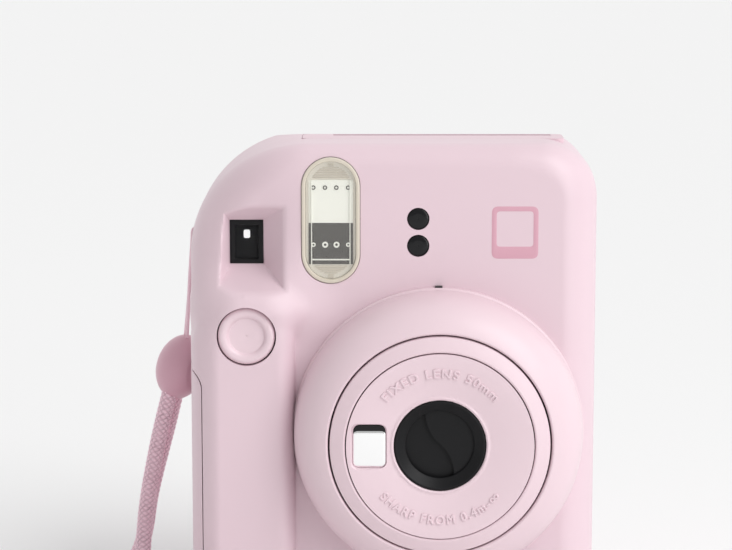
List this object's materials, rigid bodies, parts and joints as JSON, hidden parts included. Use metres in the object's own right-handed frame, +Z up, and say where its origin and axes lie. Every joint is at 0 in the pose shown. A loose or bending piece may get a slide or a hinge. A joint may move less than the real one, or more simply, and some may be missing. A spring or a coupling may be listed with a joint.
{
  "type": "instant camera",
  "caption": "Rounded instant film camera with a domed turning lens ring, side grip, flash, viewfinder and film door, on a beaded wrist strap.",
  "frame": {"origin": "middle of the base, on the surface that the camera stands on", "axes": "+Z up, the lens looks along -Y, +X is right seen from the front"},
  "size_m": [0.141, 0.0746, 0.122],
  "materials": {
    "shell_pink": "satin, fine moulded grain",
    "lens_pink": "satin",
    "trim_pink": "satin",
    "button_pink": "semi-gloss",
    "bead_pink": "semi-gloss",
    "mark_black": "printed",
    "black_satin": "satin",
    "black_gloss": "high gloss",
    "inner_black": "matte",
    "clear_window": "polished",
    "flash_lens": "ribbed, clear",
    "reflector": "bright",
    "optic_glass": "coated",
    "mirror": "polished",
    "steel": "ground",
    "spring_steel": "bright",
    "contact_metal": "nickel plated",
    "gear_white": "natural acetal",
    "board_green": "solder mask",
    "capacitor_sleeve": "heat-shrink sleeve",
    "seal_foam": "foam",
    "strap_braid": "flat braid",
    "tether_braid": "fine braid"
  },
  "bodies": {
    "root": {"front_shell": "shell_pink", "rear_shell": "shell_pink", "film_exit_trim": "trim_pink", "film_door_hinge_pin": "steel", "battery_cover_hinge_pin": "steel", "battery_holder": "inner_black", "battery_contacts": "contact_metal", "viewfinder_tunnel": "inner_black", "viewfinder_front_window": "black_gloss", "viewfinder_eyepiece": "clear_window", "eyepiece_bezel": "black_satin", "flash_window": "flash_lens", "flash_reflector": "reflector", "flash_tube": "optic_glass", "flash_capacitor": "capacitor_sleeve", "light_sensor_window": "black_gloss", "flash_sensor_window": "black_gloss", "sensor_holder": "inner_black", "main_board": "board_green", "lens_collar": "lens_pink", "index_mark": "mark_black", "barrel_guide": "inner_black", "light_cone": "inner_black", "chassis": "inner_black", "gear_plate": "steel", "roller_bracket": "steel", "motor": "steel", "shutter_switch": "inner_black", "counter_window": "clear_window", "strap_lug": "steel", "strap_bead": "bead_pink", "tether_cord": "tether_braid", "wrist_strap": "strap_braid"},
    "mode_ring": {"mode_ring": "lens_pink"},
    "lens_barrel": {"lens_barrel": "lens_pink", "barrel_bezel": "lens_pink", "lens_front_plate": "lens_pink", "selfie_mirror": "mirror", "lens_hood_ring": "black_satin", "shutter_housing": "inner_black", "lens_front_element": "optic_glass", "lens_rear_element": "optic_glass"},
    "barrier_blade_right": {"barrier_blade_right": "black_satin"},
    "barrier_blade_left": {"barrier_blade_left": "black_satin"},
    "film_door": {"film_door": "shell_pink", "film_door_window": "clear_window", "door_light_seal": "seal_foam", "film_pressure_springs": "spring_steel"},
    "film_door_latch": {"film_door_latch": "trim_pink"},
    "battery_cover": {"battery_cover": "shell_pink"},
    "roller_rear": {"roller_rear": "steel", "roller_gear_rear": "gear_white"},
    "roller_front": {"roller_front": "steel", "roller_gear_front": "gear_white"},
    "idler_upper": {"idler_gear_upper": "gear_white"},
    "idler_lower": {"idler_gear_lower": "gear_white"},
    "pinion": {"motor_pinion": "gear_white"},
    "film_claw": {"film_claw": "spring_steel"},
    "film_counter_dial": {"film_counter_dial": "inner_black"},
    "shutter_button": {"shutter_button": "button_pink"}
  },
  "joints": [
    {"name": "mode_ring_turn", "type": "hinge", "parent": "root", "child": "mode_ring", "pos_m": [0.0108, -0.0168, 0.0505], "axis": [0, -1, 0], "range_deg": [0, 60]},
    {"name": "lens_extend", "type": "slide", "parent": "root", "child": "lens_barrel", "axis": [0, -1, 0], "range_m": [0, 0.0112]},
    {"name": "blade_right_swing", "type": "hinge", "parent": "lens_barrel", "child": "barrier_blade_right", "pos_m": [0.0208, -0.0292, 0.0365], "axis": [0, 1, 0], "range_deg": [0, 48]},
    {"name": "blade_left_swing", "type": "hinge", "parent": "lens_barrel", "child": "barrier_blade_left", "pos_m": [0.0008, -0.0282, 0.0645], "axis": [0, 1, 0], "range_deg": [0, 48]},
    {"name": "film_door_open", "type": "hinge", "parent": "root", "child": "film_door", "pos_m": [-0.0252, 0.0309, 0.0567], "axis": [0, 0, 1], "range_deg": [0, 100]},
    {"name": "door_latch_slide", "type": "slide", "parent": "root", "child": "film_door_latch", "axis": [0, 0, -1], "range_m": [0, 0.004], "stiffness_N_per_m": 200},
    {"name": "battery_cover_open", "type": "hinge", "parent": "root", "child": "battery_cover", "pos_m": [-0.0506, 0.0226, 0.0348], "axis": [0, 0, -1], "range_deg": [0, 70]},
    {"name": "roller_rear_turn", "type": "hinge", "parent": "root", "child": "roller_rear", "pos_m": [0.012, 0.0162, 0.106], "axis": [1, 0, 0], "continuous": true},
    {"name": "roller_front_turn", "type": "hinge", "parent": "root", "child": "roller_front", "pos_m": [0.012, 0.0064, 0.106], "axis": [1, 0, 0], "continuous": true},
    {"name": "idler_upper_turn", "type": "hinge", "parent": "root", "child": "idler_upper", "pos_m": [-0.0249, 0.0162, 0.0927], "axis": [1, 0, 0], "continuous": true},
    {"name": "idler_lower_turn", "type": "hinge", "parent": "root", "child": "idler_lower", "pos_m": [-0.0249, 0.0162, 0.0759], "axis": [1, 0, 0], "continuous": true},
    {"name": "pinion_turn", "type": "hinge", "parent": "root", "child": "pinion", "pos_m": [-0.0249, 0.0043, 0.0759], "axis": [1, 0, 0], "continuous": true},
    {"name": "film_claw_slide", "type": "slide", "parent": "root", "child": "film_claw", "axis": [0, 0, 1], "range_m": [0, 0.005], "stiffness_N_per_m": 100},
    {"name": "counter_dial_turn", "type": "hinge", "parent": "root", "child": "film_counter_dial", "pos_m": [-0.038, 0.0288, 0.068], "axis": [0, 1, 0], "range_deg": [0, 320]},
    {"name": "shutter_press", "type": "slide", "parent": "root", "child": "shutter_button", "axis": [0, 1, 0], "range_m": [0, 0.0015], "stiffness_N_per_m": 300}
  ],
  "couplings": [
    {"joint": "lens_extend", "follows": "mode_ring_turn", "m_per_rad": 0.0105},
    {"joint": "blade_right_swing", "follows": "mode_ring_turn", "ratio": 0.7833},
    {"joint": "blade_left_swing", "follows": "mode_ring_turn", "ratio": 0.7833},
    {"joint": "roller_front_turn", "follows": "roller_rear_turn", "ratio": -1},
    {"joint": "idler_upper_turn", "follows": "roller_rear_turn", "ratio": -0.58333},
    {"joint": "idler_lower_turn", "follows": "roller_rear_turn", "ratio": 0.58333},
    {"joint": "pinion_turn", "follows": "roller_rear_turn", "ratio": -1.4}
  ]
}
